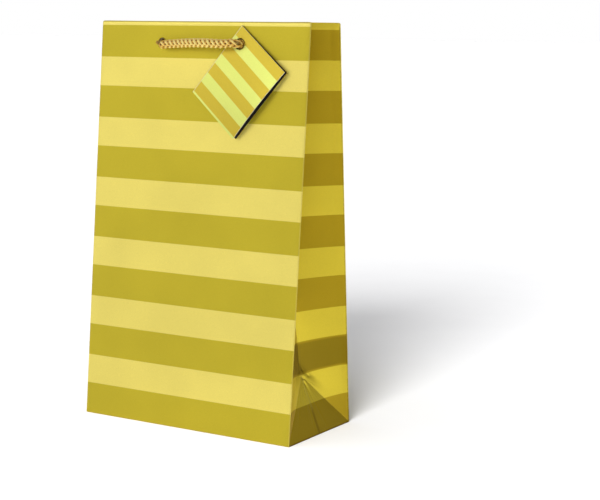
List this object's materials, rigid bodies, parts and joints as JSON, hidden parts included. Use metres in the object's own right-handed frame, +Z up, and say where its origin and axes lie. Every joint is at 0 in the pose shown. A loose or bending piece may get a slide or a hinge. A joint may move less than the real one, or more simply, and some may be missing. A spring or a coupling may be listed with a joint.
{
  "type": "gift bag",
  "caption": "Upright striped paper gift bag with gusseted sides, rope handles and a folded hanging tag.",
  "frame": {"origin": "middle of the base, on the surface that the bag stands on", "axes": "+Z up, +X to the right of the front panel, -Y out of the front panel, which has the tag"},
  "size_m": [0.14, 0.0668, 0.228],
  "materials": {
    "striped_paper": "satin",
    "paper_lining": "matte",
    "greyboard": "matte",
    "handle_cord": "satin",
    "tag_card": "satin"
  },
  "bodies": {
    "bag_base": {"bottom_flap_front": "striped_paper", "bottom_flap_back": "striped_paper", "bottom_flap_left": "striped_paper", "bottom_flap_right": "striped_paper", "left_base_triangle": "striped_paper", "right_base_triangle": "striped_paper", "left_gusset_front_half": "striped_paper", "left_gusset_front_hem": "striped_paper", "left_gusset_back_half": "striped_paper", "left_gusset_back_hem": "striped_paper", "right_gusset_front_half": "striped_paper", "right_gusset_front_hem": "striped_paper", "right_gusset_back_half": "striped_paper", "right_gusset_back_hem": "striped_paper"},
    "base_board": {"base_board": "greyboard"},
    "front_wall": {"front_panel": "striped_paper", "front_rim_card": "greyboard", "front_rim_hem": "striped_paper", "front_cord_passage_left": "handle_cord", "front_cord_passage_right": "handle_cord", "front_cord_tail_left": "handle_cord", "front_cord_tail_right": "handle_cord"},
    "back_wall": {"back_panel": "striped_paper", "back_rim_card": "greyboard", "back_rim_hem": "striped_paper", "side_seam_tab": "paper_lining", "back_cord_passage_left": "handle_cord", "back_cord_passage_right": "handle_cord", "back_cord_tail_left": "handle_cord", "back_cord_tail_right": "handle_cord"},
    "front_handle": {"front_handle_cord": "handle_cord"},
    "back_handle": {"back_handle_cord": "handle_cord"},
    "front_knots": {"front_stopper_knot_left": "handle_cord", "front_stopper_knot_right": "handle_cord"},
    "back_knots": {"back_stopper_knot_left": "handle_cord", "back_stopper_knot_right": "handle_cord"},
    "tag": {"tag_back_leaf": "tag_card"},
    "tag_cover": {"tag_cover_leaf": "tag_card"}
  },
  "joints": [
    {"name": "mouth_spread", "type": "hinge", "parent": "bag_base", "child": "front_wall", "pos_m": [0, -0.0335, 0.0007], "axis": [1, 0, 0], "range_deg": [-1.2, 2], "stiffness_Nm_per_rad": 1, "deforming": ["left_gusset_front_half", "left_gusset_front_hem", "right_gusset_front_half", "right_gusset_front_hem"]},
    {"name": "mouth_spread_back", "type": "hinge", "parent": "bag_base", "child": "back_wall", "pos_m": [0, 0.0335, 0.0007], "axis": [-1, 0, 0], "range_deg": [-1.2, 2], "stiffness_Nm_per_rad": 1, "deforming": ["left_gusset_back_half", "left_gusset_back_hem", "right_gusset_back_half", "right_gusset_back_hem"]},
    {"name": "front_handle_raise", "type": "slide", "parent": "front_wall", "child": "front_handle", "axis": [0, 0.0765, 0.9971], "range_m": [0, 0.09]},
    {"name": "front_knots_rise", "type": "slide", "parent": "front_wall", "child": "front_knots", "axis": [0, 0.02, 0.9998], "range_m": [0, 0.09], "deforming": ["front_cord_tail_left", "front_cord_tail_right"]},
    {"name": "back_handle_raise", "type": "slide", "parent": "back_wall", "child": "back_handle", "axis": [0, -0.0765, 0.9971], "range_m": [0, 0.09]},
    {"name": "back_knots_rise", "type": "slide", "parent": "back_wall", "child": "back_knots", "axis": [0, -0.02, 0.9998], "range_m": [0, 0.09], "deforming": ["back_cord_tail_left", "back_cord_tail_right"]},
    {"name": "tag_swing", "type": "hinge", "parent": "front_wall", "child": "tag", "pos_m": [0.02675, -0.01694, 0.21574], "axis": [0, -0.9971, 0.0765], "range_deg": [-40, 30]},
    {"name": "tag_open", "type": "hinge", "parent": "tag", "child": "tag_cover", "pos_m": [0.02198, -0.01759, 0.21976], "axis": [-0.6392, -0.0589, -0.7668], "range_deg": [-3, 10], "stiffness_Nm_per_rad": 0.003},
    {"name": "base_board_tilt", "type": "hinge", "parent": "bag_base", "child": "base_board", "pos_m": [0, 0.031, 0.0021], "axis": [-1, 0, 0], "range_deg": [0, 8]}
  ],
  "couplings": [
    {"joint": "mouth_spread_back", "follows": "mouth_spread", "ratio": 1},
    {"joint": "front_knots_rise", "follows": "front_handle_raise", "ratio": 1},
    {"joint": "back_knots_rise", "follows": "back_handle_raise", "ratio": 1}
  ]
}
